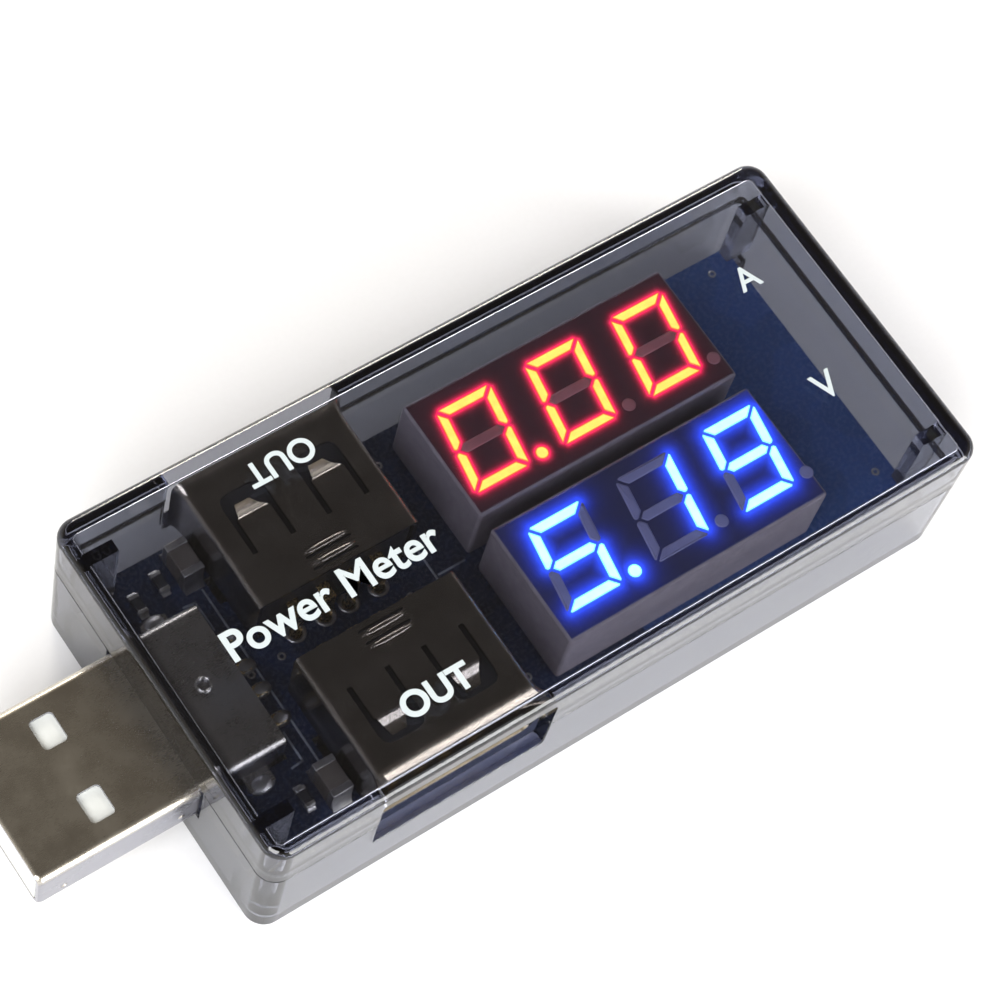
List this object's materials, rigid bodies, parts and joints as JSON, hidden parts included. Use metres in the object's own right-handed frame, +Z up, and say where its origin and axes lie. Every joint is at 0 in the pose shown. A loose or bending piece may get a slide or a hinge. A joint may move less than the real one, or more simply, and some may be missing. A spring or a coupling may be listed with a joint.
{
  "type": "usb power meter",
  "caption": "Palm-sized USB power meter: a see-through smoky case with a plug on one end, a USB output on each long side, and a red and a blue LED readout under the cover.",
  "frame": {"origin": "on the surface that the case rests on, under the middle of the whole length from plug tip to case end", "axes": "+X along the case away from the plug (the plug points to -X), +Y towards the output beside the red readout, +Z up through the cover with the readouts"},
  "size_m": [0.0736, 0.0284, 0.0142],
  "materials": {
    "case": "smoky see-through moulded polycarbonate, gloss",
    "board": "dark blue solder mask on glass-epoxy board, satin",
    "plug_metal": "nickel-plated stamped sheet, satin",
    "port_metal": "nickel-plated stamped sheet, satin",
    "white_plastic": "moulded insulator, satin",
    "contact": "gold flash on copper alloy spring strip",
    "display_case": "grey moulded display case with a dark printed face",
    "red_resin": "diffusing epoxy, lit red",
    "blue_resin": "diffusing epoxy, lit blue",
    "display_base": "thin board with tinned pins",
    "chip": "black moulding compound with tinned legs",
    "capacitor": "tan ceramic chip with tinned ends",
    "resistor": "black film on ceramic, tinned ends"
  },
  "bodies": {
    "root": {"amps_display_base": "display_base", "amps_display_case": "display_case", "amps_display_resin": "red_resin", "chip_capacitor_1": "capacitor", "chip_capacitor_2": "capacitor", "circuit_board": "board", "controller_chip": "chip", "far_filter_capacitor": "capacitor", "far_port_contact_1": "contact", "far_port_contact_2": "contact", "far_port_contact_3": "contact", "far_port_contact_4": "contact", "far_port_insulator": "white_plastic", "far_port_shell": "port_metal", "lower_shell": "case", "near_filter_capacitor": "capacitor", "near_port_contact_1": "contact", "near_port_contact_2": "contact", "near_port_contact_3": "contact", "near_port_contact_4": "contact", "near_port_insulator": "white_plastic", "near_port_shell": "port_metal", "plug_contact_1": "contact", "plug_contact_2": "contact", "plug_contact_3": "contact", "plug_contact_4": "contact", "plug_insulator": "white_plastic", "plug_shell": "plug_metal", "shunt_resistor": "resistor", "signal_resistor_1": "resistor", "signal_resistor_2": "resistor", "signal_resistor_3": "resistor", "upper_shell": "case", "voltage_regulator": "chip", "volts_display_base": "display_base", "volts_display_case": "display_case", "volts_display_resin": "blue_resin"}
  },
  "joints": []
}
